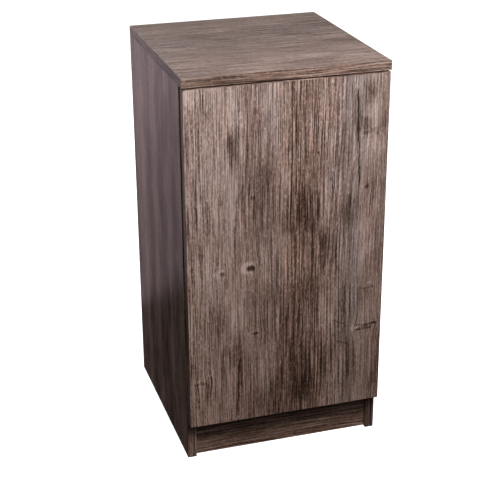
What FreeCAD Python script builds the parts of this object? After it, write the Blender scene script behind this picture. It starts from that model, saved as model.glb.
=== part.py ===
import FreeCAD, Part
import math
import os

# Flat-pack aquarium cabinet in millimetres
# X runs across, Y from the front to the back, Z up, with the origin on the floor at the middle

# Overall sizes
cabinet_width = 400.0
cabinet_depth = 418.0
cabinet_height = 790.0

# Boards and their edging
side_board = 18.0
top_board = 18.0
door_board = 18.0
bottom_board = 18.0
shelf_board = 18.0
plinth_thickness = 18.0
rail_board = 18.0
edge_band = 1.0
edge_round = 0.6

# Door gaps
door_gap = 3.0
door_reveal = 1.5
door_top_gap = 3.0
door_bottom_rise = 1.0

# Plinth and rear rail
plinth_height = 80.0
plinth_recess = 10.0
rail_height = 90.0

# Hardboard back in its grooves, with two hose holes below the rail
back_thickness = 3.0
back_inset = 12.0
groove_depth = 8.0
groove_play = 0.2
hose_hole_diameter = 60.0
hose_hole_spacing = 200.0
hose_hole_drop = 46.0

# Shelf on four pins
shelf_height = 420.0
shelf_front_setback = 38.0
shelf_rear_gap = 28.0
shelf_side_play = 1.0
pin_diameter = 4.9
pin_depth = 8.0
pin_hole_play = 0.1
pin_hole_floor = 1.0
pin_row_pitch = 32.0
pin_row_steps = (-1, 0, 1)
pin_front_inset = 60.0
pin_rear_inset = 70.0
tongue_reach = 9.0
tongue_width = 12.0
tongue_thickness = 3.0
tongue_corner = 4.0

# Cam fittings
cam_diameter = 14.8
cam_height = 12.8
cam_hole_play = 0.1
cam_reach = 34.0
cam_pocket_diameter = 6.8
cam_pocket_room = 0.4
cam_slot_length = 9.0
cam_slot_width = 1.6
cam_slot_depth = 2.0
bolt_thread_diameter = 4.8
bolt_thread_length = 11.0
bolt_shank_diameter = 6.0
bolt_neck_diameter = 3.6
bolt_neck_length = 4.0
bolt_head_diameter = 6.0
bolt_head_length = 3.0
bolt_bore_diameter = 7.0
bolt_play = 0.1
fixing_front_inset = 52.0
fixing_rear_inset = 56.0

# Wooden dowels
dowel_diameter = 7.9
dowel_length = 30.0
dowel_face_depth = 11.0
dowel_hole_play = 0.1
dowel_end_room = 0.5
dowel_offset = 32.0
plinth_dowel_rise = 22.0
rail_dowel_rise = 20.0
rail_cam_rise = 60.0

# Small screws
screw_head_diameter = 7.0
screw_head_height = 2.2
screw_shank_diameter = 3.2
screw_tip_length = 3.0
screw_tip_radius = 0.4
screw_hole_play = 0.1
back_screw_length = 16.0
back_screw_spacing = 110.0
rail_screw_spacing = 140.0
latch_screw_length = 13.0
cup_screw_length = 12.0
plate_screw_length = 15.0

# Concealed hinges, measured from the middle of the cup on the back of the door
hinge_inset = 95.0
cup_diameter = 35.0
cup_edge_distance = 5.0
cup_depth = 12.0
cup_wall = 1.2
cup_floor = 0.8
cup_bore_play = 0.1
flange_thickness = 1.2
flange_overlap = 2.0
flange_screw_offset = 9.5
flange_screw_spacing = 45.0
flange_ear_radius = 6.0
cup_notch_half_width = 8.6
cup_notch_depth = 4.6
cup_notch_start = 12.6
outer_arm_pivot = (-10.5, 4.4)
inner_arm_pivot = (-4.7, -5.3)
outer_cup_pivot = (11.2, -2.5)
inner_cup_pivot = (11.0, -7.9)
outer_link_bend = (4.5, -4.0)
inner_link_bend = (1.3, -7.8)
hook_mouth = (4.4, -2.8)
hinge_pin_radius = 1.25
pin_fit = 0.06
hook_play = 0.4
cup_pin_reach = 12.2
link_half_width = 2.0
inner_link_half_width = 1.8
inner_eye_radius = 2.8
hook_radius = 2.6
cup_eye_radius = 2.5
outer_eye_radius = 4.8
link_web_inner_radius = 3.7
link_web_angles = (185.0, 240.0)
inner_link_half_height = 4.0
hinge_side_play = 0.3
arm_sheet = 1.5
arm_eye_radius = 3.1
arm_rear_height = 11.5
arm_flange_height = 6.0
arm_nose_end = 14.0
arm_crank_end = 26.0
arm_web_start = 7.0
arm_tail = 24.0
plate_setback = 37.0
plate_thickness = 2.0
plate_half_length = 20.0
plate_half_width = 9.0
plate_wing_width = 18.0
plate_wing_reach = 23.0
plate_wing_corner = 4.5
plate_hole_spacing = 32.0
rail_side_play = 0.2
rail_top_play = 0.1
adjuster_head_radius = 3.0
adjuster_head_height = 1.6
adjuster_shank_radius = 2.0
adjuster_length = 7.5
adjuster_spacing = 18.0
adjuster_slot = 0.9

# Magnetic push latch under the top board
latch_side_inset = 34.0
latch_axis_drop = 15.0
latch_setback = 2.0
latch_body_radius = 7.0
latch_end_wall = 4.0
latch_base_thickness = 3.0
latch_base_half_width = 17.0
latch_base_start = 8.0
latch_base_length = 24.0
latch_base_corner = 4.0
latch_screw_spacing = 24.0
latch_press = 3.0
plunger_radius = 4.0
plunger_fit = 0.1
plunger_length = 36.0
magnet_radius = 3.6
magnet_thickness = 3.0
striker_gap = 0.3
striker_radius = 7.0
striker_thickness = 1.2

# Places worked out from the sizes
Vector = FreeCAD.Vector
half_width = cabinet_width / 2
front = -cabinet_depth / 2
rear = cabinet_depth / 2
door_back = front + door_board
carcass_front = door_back + door_gap
top_underside = cabinet_height - top_board
inner_half = half_width - side_board
bottom_top = plinth_height + bottom_board
back_rear = rear - back_inset
back_front = back_rear - back_thickness
rail_bottom = top_underside - rail_height
rail_middle = back_front - rail_board / 2
door_half = half_width - door_reveal
door_top = top_underside - door_top_gap
door_bottom = plinth_height + door_bottom_rise
shelf_bottom = shelf_height - shelf_board
shelf_front = carcass_front + shelf_front_setback
pin_z = shelf_bottom - pin_diameter / 2
pin_lines = (carcass_front + pin_front_inset, back_front - pin_rear_inset)
fixing_lines = (carcass_front + fixing_front_inset, back_front - rail_board - fixing_rear_inset)
cup_x = door_half - cup_edge_distance - cup_diameter / 2
hinge_heights = {"lower": door_bottom + hinge_inset, "upper": door_top - hinge_inset}
side_face = inner_half - cup_x
plate_middle = door_gap + plate_setback
latch_x = -inner_half + latch_side_inset
latch_z = top_underside - latch_axis_drop

cuts = {}


def cut_from(board, *tools):
    cuts.setdefault(board, []).extend(tools)


def box(x0, x1, y0, y1, z0, z1):
    return Part.makeBox(x1 - x0, y1 - y0, z1 - z0, Vector(x0, y0, z0))


def rod(radius, start, direction, length):
    return Part.makeCylinder(radius, length, Vector(*start), Vector(*direction))


def turned(profile):
    points = [Vector(x, r, 0) for x, r in profile]
    points = [Vector(profile[0][0], 0, 0)] + points + [Vector(profile[-1][0], 0, 0)]
    face = Part.Face(Part.makePolygon(points + points[:1]))
    return face.revolve(Vector(0, 0, 0), Vector(1, 0, 0), 360)


def placed(shape, origin, along, out):
    x_axis = Vector(*along)
    z_axis = Vector(*out)
    y_axis = z_axis.cross(x_axis)
    matrix = FreeCAD.Matrix(x_axis.x, y_axis.x, z_axis.x, origin[0],
                            x_axis.y, y_axis.y, z_axis.y, origin[1],
                            x_axis.z, y_axis.z, z_axis.z, origin[2],
                            0, 0, 0, 1)
    moved = shape.copy()
    moved.Placement = FreeCAD.Placement(matrix)
    return moved


def prism(edges, z0, z1):
    face = Part.Face(Part.Wire([edge.toShape() for edge in edges]))
    return face.translated(Vector(0, 0, z0)).extrude(Vector(0, 0, z1 - z0))


def outline(points, z0, z1):
    corners = [Vector(x, y, 0) for x, y in points]
    edges = [Part.LineSegment(a, b) for a, b in zip(corners, corners[1:] + corners[:1])]
    return prism(edges, z0, z1)


def capsule(start, end, radius, z0, z1):
    a = Vector(start[0], start[1], 0)
    b = Vector(end[0], end[1], 0)
    along = (b - a).normalize() * radius
    across = Vector(-along.y, along.x, 0)
    edges = [Part.LineSegment(a + across, b + across),
             Part.Arc(b + across, b + along, b - across),
             Part.LineSegment(b - across, a - across),
             Part.Arc(a - across, a - along, a + across)]
    return prism(edges, z0, z1)


def ring_sector(centre, inner, outer, angles, z0, z1):
    def at(radius, angle):
        turn = math.radians(angle)
        return Vector(centre[0] + radius * math.cos(turn), centre[1] + radius * math.sin(turn), 0)
    first, last = angles
    middle = (first + last) / 2
    edges = [Part.Arc(at(outer, first), at(outer, middle), at(outer, last)),
             Part.LineSegment(at(outer, last), at(inner, last)),
             Part.Arc(at(inner, last), at(inner, middle), at(inner, first)),
             Part.LineSegment(at(inner, first), at(outer, first))]
    return prism(edges, z0, z1)


def joined(first, *others):
    return first.fuse(list(others)).removeSplitter()


def save(name, *solids):
    shape = solids[0] if len(solids) == 1 else Part.makeCompound(list(solids))
    shape.exportStep(os.path.join("parts", name + ".step"))


# Edge band strip with its two long outer corners rounded
def band(x0, x1, y0, y1, z0, z1, outward):
    strip = box(x0, x1, y0, y1, z0, z1)
    centre = Vector((x0 + x1) / 2, (y0 + y1) / 2, (z0 + z1) / 2)
    longest = max(x1 - x0, y1 - y0, z1 - z0)
    face_way = Vector(*outward)

    def outer_long(edge):
        middle = edge.CenterOfMass - centre
        return edge.Length > longest - edge_band and middle.dot(face_way) > 0

    return strip.makeFillet(edge_round, [edge for edge in strip.Edges if outer_long(edge)])


# Pan-head screw along its local X axis, with the underside of the head at zero
def screw(length):
    head = screw_head_diameter / 2
    shank = screw_shank_diameter / 2
    return turned([(-screw_head_height, head - screw_head_height), (0, head), (0, shank),
                   (length - screw_tip_length, shank), (length, screw_tip_radius)])


def pilot_hole(start, direction, length):
    return rod(screw_shank_diameter / 2 + screw_hole_play, start, direction, length + screw_hole_play)


# Cam fitting: the bolt leaves the mating face at the origin along X, the cam opens towards Z
def cam_fitting(host, mate, thickness, origin, along, out):
    radius = cam_diameter / 2
    face = thickness / 2
    floor = face - cam_height
    cam = rod(radius, (cam_reach, 0, floor), (0, 0, 1), cam_height)
    bolt_end = cam_reach + bolt_head_length
    pocket = rod(cam_pocket_diameter / 2, (0, 0, 0), (1, 0, 0), bolt_end + cam_pocket_room)
    slot = box(cam_reach - cam_slot_length / 2, cam_reach + cam_slot_length / 2,
               -cam_slot_width / 2, cam_slot_width / 2, face - cam_slot_depth, face)
    cross = box(cam_reach - cam_slot_width / 2, cam_reach + cam_slot_width / 2,
                -cam_slot_length / 2, cam_slot_length / 2, face - cam_slot_depth, face)
    cam = cam.cut([pocket, slot, cross])
    head = bolt_head_diameter / 2
    shank = bolt_shank_diameter / 2
    neck = bolt_neck_diameter / 2
    thread = bolt_thread_diameter / 2
    bolt = turned([(-bolt_thread_length, thread), (0, thread), (0, shank), (cam_reach - radius, shank),
                   (cam_reach - bolt_neck_length, neck), (cam_reach, neck),
                   (cam_reach, head), (bolt_end, neck)])
    cam_hole = rod(radius + cam_hole_play, (cam_reach, 0, floor - cam_hole_play), (0, 0, 1),
                   cam_height + 2 * cam_hole_play)
    bolt_bore = rod(bolt_bore_diameter / 2, (0, 0, 0), (1, 0, 0), cam_reach)
    thread_hole = rod(thread + bolt_play, (0, 0, 0), (-1, 0, 0), bolt_thread_length + bolt_play)
    cut_from(host, placed(cam_hole, origin, along, out), placed(bolt_bore, origin, along, out))
    cut_from(mate, placed(thread_hole, origin, along, out))
    cam_locks.append(placed(cam, origin, along, out))
    cam_bolts.append(placed(bolt, origin, along, out))


# Dowel from a mating face at the origin, reaching into the host along X
def dowel(host, mate, origin, along, out):
    radius = dowel_diameter / 2
    start = -dowel_face_depth
    end = dowel_length - dowel_face_depth
    pin = rod(radius, (start, 0, 0), (1, 0, 0), dowel_length)
    into_host = rod(radius + dowel_hole_play, (0, 0, 0), (1, 0, 0), end + dowel_end_room)
    into_mate = rod(radius + dowel_hole_play, (0, 0, 0), (-1, 0, 0), dowel_face_depth + dowel_end_room)
    cut_from(host, placed(into_host, origin, along, out))
    cut_from(mate, placed(into_mate, origin, along, out))
    dowels.append(placed(pin, origin, along, out))


cam_locks = []
cam_bolts = []
dowels = []
sides = {-1: "left_side_panel", 1: "right_side_panel"}

# Board blanks
boards = {
    "top_panel": box(-half_width + edge_band, half_width - edge_band, front + edge_band, rear,
                     top_underside, cabinet_height),
    "bottom_panel": box(-inner_half, inner_half, carcass_front + edge_band, back_front,
                        plinth_height, bottom_top),
    "front_plinth": box(-inner_half, inner_half, carcass_front + plinth_recess,
                        carcass_front + plinth_recess + plinth_thickness, 0, plinth_height),
    "rear_plinth": box(-inner_half, inner_half, back_front - plinth_thickness, back_front, 0, plinth_height),
    "rear_rail": box(-inner_half, inner_half, back_front - rail_board, back_front,
                     rail_bottom, top_underside),
    "shelf": box(-inner_half + shelf_side_play, inner_half - shelf_side_play, shelf_front + edge_band,
                 back_front - shelf_rear_gap, shelf_bottom, shelf_height),
    "door_panel": box(-door_half + edge_band, door_half - edge_band, front, door_back,
                      door_bottom + edge_band, door_top - edge_band),
}
for hand, name in sides.items():
    inner, outer = sorted((hand * inner_half, hand * half_width))
    boards[name] = box(inner, outer, carcass_front + edge_band, rear, 0, top_underside)

# Grooves for the back, and the back itself
groove_front = back_front - groove_play / 2
groove_rear = back_rear + groove_play / 2
for hand, name in sides.items():
    inner, outer = sorted((hand * inner_half, hand * (inner_half + groove_depth)))
    cut_from(name, box(inner, outer, groove_front, groove_rear, 0, top_underside))
cut_from("top_panel", box(-inner_half - groove_depth, inner_half + groove_depth, groove_front, groove_rear,
                          top_underside, top_underside + groove_depth))
back_half = inner_half + groove_depth - groove_play
boards["back_panel"] = box(-back_half, back_half, back_front, back_rear, plinth_height,
                           top_underside + groove_depth - groove_play)
for hand in sides:
    hole_middle = (hand * hose_hole_spacing / 2, back_front, rail_bottom - hose_hole_drop)
    cut_from("back_panel", rod(hose_hole_diameter / 2, hole_middle, (0, 1, 0), back_thickness))

# Cams and dowels that hold the carcass together
plinth_middles = {"front_plinth": carcass_front + plinth_recess + plinth_thickness / 2,
                  "rear_plinth": back_front - plinth_thickness / 2}
for hand, name in sides.items():
    inward = (-hand, 0, 0)
    board_middle = hand * (half_width - side_board / 2)
    for line, toward in zip(fixing_lines, (1, -1)):
        top_joint = (board_middle, line, top_underside)
        cam_fitting(name, "top_panel", side_board, top_joint, (0, 0, -1), inward)
        top_dowel = (board_middle, line + toward * dowel_offset, top_underside)
        dowel(name, "top_panel", top_dowel, (0, 0, -1), inward)
        low_joint = (hand * inner_half, line, plinth_height + bottom_board / 2)
        cam_fitting("bottom_panel", name, bottom_board, low_joint, inward, (0, 0, -1))
        low_dowel = (hand * inner_half, line + toward * dowel_offset, plinth_height + bottom_board / 2)
        dowel("bottom_panel", name, low_dowel, inward, (0, 0, -1))
    for plinth, middle in plinth_middles.items():
        for height in (plinth_dowel_rise, plinth_height - plinth_dowel_rise):
            dowel(plinth, name, (hand * inner_half, middle, height), inward, (0, 0, 1))
    rail_joint = (hand * inner_half, rail_middle, rail_bottom + rail_cam_rise)
    cam_fitting("rear_rail", name, rail_board, rail_joint, inward, (0, -1, 0))
    rail_dowel = (hand * inner_half, rail_middle, rail_bottom + rail_dowel_rise)
    dowel("rear_rail", name, rail_dowel, inward, (0, -1, 0))

# Shelf pins, with spare holes above and below
shelf_pins = []
for hand, name in sides.items():
    for line in pin_lines:
        for step in pin_row_steps:
            mouth = (hand * inner_half, line, pin_z + step * pin_row_pitch)
            hole_depth = pin_depth + pin_hole_floor
            cut_from(name, rod(pin_diameter / 2 + pin_hole_play, mouth, (hand, 0, 0), hole_depth))
        pin = rod(pin_diameter / 2, (hand * inner_half, line, pin_z), (hand, 0, 0), pin_depth)
        near, far = sorted((hand * inner_half, hand * (inner_half - tongue_reach)))
        tongue = box(near, far, line - tongue_width / 2, line + tongue_width / 2,
                     shelf_bottom - tongue_thickness, shelf_bottom)
        upright = [edge for edge in tongue.Edges if edge.Length < tongue_thickness + pin_hole_play]
        tip = [edge for edge in upright if abs(edge.CenterOfMass.x) < inner_half - tongue_reach / 2]
        tongue = tongue.makeFillet(tongue_corner, tip)
        shelf_pins.append(joined(pin, tongue))

# Screws that fix the back to the bottom board and the rail
back_screws = []
screw_places = [(x, plinth_height + bottom_board / 2, "bottom_panel")
                for x in (-back_screw_spacing, 0, back_screw_spacing)]
screw_places += [(x, rail_bottom + rail_cam_rise, "rear_rail")
                 for x in (-rail_screw_spacing / 2, rail_screw_spacing / 2)]
for x, z, board in screw_places:
    start = (x, back_rear, z)
    cut_from("back_panel", pilot_hole(start, (0, -1, 0), back_thickness))
    cut_from(board, pilot_hole(start, (0, -1, 0), back_screw_length))
    back_screws.append(placed(screw(back_screw_length), start, (0, -1, 0), (0, 0, 1)))

# Edge bands
bands = {
    "top_edge_bands": [
        band(-half_width, half_width, front, front + edge_band, top_underside, cabinet_height, (0, -1, 0)),
        band(-half_width, -half_width + edge_band, front + edge_band, rear,
             top_underside, cabinet_height, (-1, 0, 0)),
        band(half_width - edge_band, half_width, front + edge_band, rear,
             top_underside, cabinet_height, (1, 0, 0))],
    "bottom_edge_band": [
        band(-inner_half, inner_half, carcass_front, carcass_front + edge_band,
             plinth_height, bottom_top, (0, -1, 0))],
    "shelf_edge_band": [
        band(-inner_half + shelf_side_play, inner_half - shelf_side_play,
             shelf_front, shelf_front + edge_band, shelf_bottom, shelf_height, (0, -1, 0))],
    "door_edge_bands": [
        band(-door_half, -door_half + edge_band, front, door_back, door_bottom, door_top, (-1, 0, 0)),
        band(door_half - edge_band, door_half, front, door_back, door_bottom, door_top, (1, 0, 0)),
        band(-door_half + edge_band, door_half - edge_band, front, door_back,
             door_bottom, door_bottom + edge_band, (0, 0, -1)),
        band(-door_half + edge_band, door_half - edge_band, front, door_back,
             door_top - edge_band, door_top, (0, 0, 1))],
}
for side, hand in (("left", -1), ("right", 1)):
    inner, outer = sorted((hand * inner_half, hand * half_width))
    bands[side + "_side_edge_band"] = [
        band(inner, outer, carcass_front, carcass_front + edge_band, 0, top_underside, (0, -1, 0))]

# Heights of the hinge's layers, counted from its middle plane
ear_inner = inner_link_half_height + hinge_side_play
ear_outer = ear_inner + arm_sheet
plate_inner = ear_outer + hinge_side_play
plate_outer = plate_inner + arm_sheet
pin_hole_radius = hinge_pin_radius + pin_fit


def pin_at(pivot, reach, radius=hinge_pin_radius):
    return rod(radius, (pivot[0], pivot[1], -reach), (0, 0, 1), 2 * reach)


# Cup pressed from sheet, with a flange, two screw ears and a notch where the links pass
def hinge_cup():
    radius = cup_diameter / 2
    shell = rod(radius, (0, -cup_depth, 0), (0, 1, 0), cup_depth)
    flange = rod(radius + flange_overlap, (0, 0, 0), (0, 1, 0), flange_thickness)
    ears = []
    holes = []
    for way in (-1, 1):
        ear_middle = (-flange_screw_offset, 0, way * flange_screw_spacing / 2)
        ears.append(rod(flange_ear_radius, ear_middle, (0, 1, 0), flange_thickness))
        ears.append(box(-flange_screw_offset - flange_ear_radius, -flange_screw_offset + flange_ear_radius,
                        0, flange_thickness, *sorted((0, way * flange_screw_spacing / 2))))
        holes.append(rod(screw_shank_diameter / 2 + screw_hole_play, ear_middle, (0, 1, 0), flange_thickness))
    hollow = rod(radius - cup_wall, (0, cup_floor - cup_depth, 0), (0, 1, 0), cup_depth + flange_thickness)
    notch = box(cup_notch_start, radius + flange_overlap, -cup_notch_depth, flange_thickness,
                -cup_notch_half_width, cup_notch_half_width)
    pin_holes = [pin_at(pivot, cup_pin_reach + pin_fit, pin_hole_radius)
                 for pivot in (outer_cup_pivot, inner_cup_pivot)]
    return joined(shell, flange, *ears).cut([hollow, notch] + holes + pin_holes)


# Outer link: two bent cheeks, tied by a web behind the arm pivot
def outer_link():
    cheeks = []
    for low, high in ((-plate_outer, -plate_inner), (plate_inner, plate_outer)):
        cheek = capsule(outer_arm_pivot, outer_link_bend, link_half_width, low, high)
        front_run = capsule(outer_link_bend, outer_cup_pivot, link_half_width, low, high)
        cup_eye = rod(cup_eye_radius, (outer_cup_pivot[0], outer_cup_pivot[1], low), (0, 0, 1), high - low)
        arm_eye = rod(outer_eye_radius, (outer_arm_pivot[0], outer_arm_pivot[1], low), (0, 0, 1), high - low)
        cheeks.append(joined(cheek, front_run, cup_eye, arm_eye))
    web = ring_sector(outer_arm_pivot, link_web_inner_radius, outer_eye_radius, link_web_angles,
                      -plate_outer, plate_outer)
    holes = [pin_at(pivot, plate_outer, pin_hole_radius) for pivot in (outer_arm_pivot, outer_cup_pivot)]
    return joined(cheeks[0], cheeks[1], web).cut(holes)


# Inner link: a bent bar with an eye on the arm and an open hook on the cup pin
def inner_link():
    low = -inner_link_half_height
    high = inner_link_half_height
    height = high - low
    bar = capsule(inner_arm_pivot, inner_link_bend, inner_link_half_width, low, high)
    front_run = capsule(inner_link_bend, inner_cup_pivot, inner_link_half_width, low, high)
    eye = rod(inner_eye_radius, (inner_arm_pivot[0], inner_arm_pivot[1], low), (0, 0, 1), height)
    hook = rod(hook_radius, (inner_cup_pivot[0], inner_cup_pivot[1], low), (0, 0, 1), height)
    mouth_end = (inner_cup_pivot[0] + hook_mouth[0], inner_cup_pivot[1] + hook_mouth[1])
    mouth = capsule(inner_cup_pivot, mouth_end, hinge_pin_radius + hook_play, low, high)
    return joined(bar, front_run, eye, hook).cut([mouth, pin_at(inner_arm_pivot, high, pin_hole_radius)])


arm_rear = side_face - arm_rear_height
arm_foot = arm_rear + arm_flange_height
arm_end = plate_middle + arm_tail
adjuster_lines = (plate_middle - adjuster_spacing / 2, plate_middle + adjuster_spacing / 2)


# Cranked arm: a channel that is open towards the side board, its cheeks drawn out into the two pivot ears
def hinge_arm():
    nose = outer_arm_pivot[0] - arm_eye_radius
    ears = capsule(outer_arm_pivot, inner_arm_pivot, arm_eye_radius, -ear_outer, ear_outer)
    body = outline([(nose, outer_arm_pivot[1]), (nose, arm_nose_end), (arm_rear, arm_crank_end),
                    (arm_rear, arm_end), (arm_foot, arm_end), (arm_foot, arm_crank_end),
                    (inner_arm_pivot[0], arm_nose_end),
                    (inner_arm_pivot[0] - arm_eye_radius, outer_arm_pivot[1])], -ear_outer, ear_outer)
    channel = outline([(nose + arm_sheet, arm_web_start), (nose + arm_sheet, arm_nose_end),
                       (arm_rear + arm_sheet, arm_crank_end), (arm_rear + arm_sheet, arm_end),
                       (side_face, arm_end), (side_face, arm_web_start)], -ear_inner, ear_inner)
    nose_gap = box(nose - arm_sheet, side_face, inner_arm_pivot[1] - 2 * arm_eye_radius, arm_web_start,
                   -ear_inner, ear_inner)
    holes = [pin_at(pivot, ear_outer, pin_hole_radius) for pivot in (outer_arm_pivot, inner_arm_pivot)]
    holes += [rod(adjuster_shank_radius + screw_hole_play, (arm_rear, line, 0), (1, 0, 0), arm_sheet)
              for line in adjuster_lines]
    return joined(ears, body).cut([channel, nose_gap] + holes)


# Mounting plate: a cross-shaped foot on the side board and a rail that the arm straddles
def mounting_plate():
    foot_face = side_face - plate_thickness
    foot = box(foot_face, side_face, plate_middle - plate_half_length, plate_middle + plate_half_length,
               -plate_half_width, plate_half_width)
    wing_half = plate_wing_width / 2
    wings = box(foot_face, side_face, plate_middle - wing_half, plate_middle + wing_half,
                -plate_wing_reach, plate_wing_reach)
    corners = [edge for edge in wings.Edges if abs(edge.Length - plate_thickness) < pin_fit]
    wings = wings.makeFillet(plate_wing_corner, corners)
    rail = box(arm_rear + arm_sheet + rail_top_play, side_face, plate_middle - plate_half_length,
               plate_middle + plate_half_length, -ear_inner + rail_side_play, ear_inner - rail_side_play)
    holes = [pilot_hole((foot_face, plate_middle, way * plate_hole_spacing / 2), (1, 0, 0), plate_thickness)
             for way in (-1, 1)]
    holes += [rod(adjuster_shank_radius + screw_hole_play, (arm_rear, line, 0), (1, 0, 0),
                  adjuster_length + screw_hole_play) for line in adjuster_lines]
    return joined(foot, wings, rail).cut(holes)


# Adjusting screw along its local X axis, with a slot across its head
def adjuster():
    turned_screw = turned([(-adjuster_head_height, adjuster_head_radius), (0, adjuster_head_radius),
                           (0, adjuster_shank_radius), (adjuster_length, adjuster_shank_radius)])
    slot = box(-adjuster_head_height, -adjuster_head_height / 2, -adjuster_head_radius, adjuster_head_radius,
               -adjuster_slot / 2, adjuster_slot / 2)
    return turned_screw.cut(slot)


hinge_makers = {"hinge_cup": hinge_cup, "outer_link": outer_link, "inner_link": inner_link,
                "hinge_arm": hinge_arm, "mounting_plate": mounting_plate}
hinge_parts = {}
arm_pins = []
cup_pins = []
cup_screws = []
plate_screws = []
adjusters = []
stub = cup_pin_reach - plate_inner
for place, height in hinge_heights.items():
    seat = Vector(cup_x, door_back, height)
    for part_name, make in hinge_makers.items():
        hinge_parts[place + "_" + part_name] = make().translated(seat)
    arm_pins.append(pin_at(outer_arm_pivot, plate_outer).translated(seat))
    arm_pins.append(pin_at(inner_arm_pivot, ear_outer).translated(seat))
    cup_pins.append(pin_at(inner_cup_pivot, cup_pin_reach).translated(seat))
    cut_from("door_panel", rod(cup_diameter / 2 + cup_bore_play, (cup_x, door_back, height), (0, -1, 0),
                               cup_depth + cup_bore_play))
    for way in (-1, 1):
        start = (outer_cup_pivot[0], outer_cup_pivot[1], way * plate_inner)
        cup_pins.append(rod(hinge_pin_radius, start, (0, 0, way), stub).translated(seat))
        ear_top = (cup_x - flange_screw_offset, door_back + flange_thickness,
                   height + way * flange_screw_spacing / 2)
        cup_screws.append(placed(screw(cup_screw_length), ear_top, (0, -1, 0), (0, 0, 1)))
        cut_from("door_panel", pilot_hole(ear_top, (0, -1, 0), cup_screw_length))
        plate_top = (inner_half - plate_thickness, door_back + plate_middle,
                     height + way * plate_hole_spacing / 2)
        plate_screws.append(placed(screw(plate_screw_length), plate_top, (1, 0, 0), (0, 0, 1)))
        cut_from("right_side_panel", pilot_hole(plate_top, (1, 0, 0), plate_screw_length))
    for line in adjuster_lines:
        adjuster_seat = (cup_x + arm_rear, door_back + line, height)
        adjusters.append(placed(adjuster(), adjuster_seat, (1, 0, 0), (0, 0, 1)))

# Push latch: a barrel under the top board, its plunger pointing at the striker plate on the door
latch_front = carcass_front + latch_setback
striker_face = door_back + striker_thickness
magnet_front = striker_face + striker_gap
plunger_front = magnet_front + magnet_thickness
latch_bore_depth = plunger_front + plunger_length + latch_press - latch_front
latch_body_length = latch_bore_depth + latch_end_wall
barrel = rod(latch_body_radius, (latch_x, latch_front, latch_z), (0, 1, 0), latch_body_length)
neck = box(latch_x - latch_body_radius, latch_x + latch_body_radius,
           latch_front, latch_front + latch_body_length, latch_z, top_underside)
base_front = latch_front + latch_base_start
base = box(latch_x - latch_base_half_width, latch_x + latch_base_half_width,
           base_front, base_front + latch_base_length, top_underside - latch_base_thickness, top_underside)
base_corners = [edge for edge in base.Edges if abs(edge.Length - latch_base_thickness) < plunger_fit]
base = base.makeFillet(latch_base_corner, base_corners)
bore = rod(plunger_radius + plunger_fit, (latch_x, latch_front, latch_z), (0, 1, 0), latch_bore_depth)
latch_screws = []
latch_holes = [bore]
for way in (-1, 1):
    ear = (latch_x + way * latch_screw_spacing / 2, base_front + latch_base_length / 2,
           top_underside - latch_base_thickness)
    latch_screws.append(placed(screw(latch_screw_length), ear, (0, 0, 1), (1, 0, 0)))
    latch_holes.append(pilot_hole(ear, (0, 0, 1), latch_base_thickness))
    cut_from("top_panel", pilot_hole(ear, (0, 0, 1), latch_screw_length))
striker = rod(striker_radius, (latch_x, door_back, latch_z), (0, 1, 0), striker_thickness)

os.makedirs("parts", exist_ok=True)
for name, blank in boards.items():
    save(name, blank.cut(cuts[name]) if name in cuts else blank)
for name, strips in bands.items():
    save(name, *strips)
for name, solid in hinge_parts.items():
    save(name, solid)
save("cam_locks", *cam_locks)
save("cam_bolts", *cam_bolts)
save("dowels", *dowels)
save("shelf_pins", *shelf_pins)
save("back_panel_screws", *back_screws)
save("hinge_arm_pins", *arm_pins)
save("hinge_cup_pins", *cup_pins)
save("hinge_cup_screws", *cup_screws)
save("hinge_plate_screws", *plate_screws)
save("hinge_adjusting_screws", *adjusters)
save("latch_housing", joined(barrel, neck, base).cut(latch_holes))
save("latch_plunger", rod(plunger_radius, (latch_x, plunger_front, latch_z), (0, 1, 0), plunger_length))
save("latch_magnet", rod(magnet_radius, (latch_x, magnet_front, latch_z), (0, 1, 0), magnet_thickness))
save("latch_screws", *latch_screws)
save("striker_plate", striker)
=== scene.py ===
import math

import bpy
import numpy as np
from mathutils import Matrix, Vector


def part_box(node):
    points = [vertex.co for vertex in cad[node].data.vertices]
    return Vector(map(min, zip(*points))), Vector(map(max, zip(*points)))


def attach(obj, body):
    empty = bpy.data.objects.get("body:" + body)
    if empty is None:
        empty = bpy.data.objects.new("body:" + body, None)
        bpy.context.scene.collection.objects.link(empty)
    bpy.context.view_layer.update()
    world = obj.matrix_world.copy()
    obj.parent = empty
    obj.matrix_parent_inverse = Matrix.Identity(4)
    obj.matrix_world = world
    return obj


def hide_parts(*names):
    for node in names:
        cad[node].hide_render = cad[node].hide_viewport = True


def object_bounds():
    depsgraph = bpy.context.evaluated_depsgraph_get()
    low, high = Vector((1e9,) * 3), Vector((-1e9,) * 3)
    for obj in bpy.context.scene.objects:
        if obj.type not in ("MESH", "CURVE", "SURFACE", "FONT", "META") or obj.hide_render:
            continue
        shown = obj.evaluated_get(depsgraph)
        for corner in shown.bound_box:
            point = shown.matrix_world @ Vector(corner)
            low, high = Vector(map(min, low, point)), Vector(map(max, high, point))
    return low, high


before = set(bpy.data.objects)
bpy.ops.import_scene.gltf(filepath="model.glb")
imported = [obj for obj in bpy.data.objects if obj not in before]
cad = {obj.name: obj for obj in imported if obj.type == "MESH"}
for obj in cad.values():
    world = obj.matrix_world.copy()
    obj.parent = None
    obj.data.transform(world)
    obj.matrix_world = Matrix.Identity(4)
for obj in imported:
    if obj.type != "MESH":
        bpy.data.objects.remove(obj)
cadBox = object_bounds()
print("frame loaded:", len(cad), "nodes")


def feed(tree, socket, value):  # a link where the value is a socket, else a plain setting
    if isinstance(value, bpy.types.NodeSocket):
        tree.links.new(value, socket)
    else:
        socket.default_value = value


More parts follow.
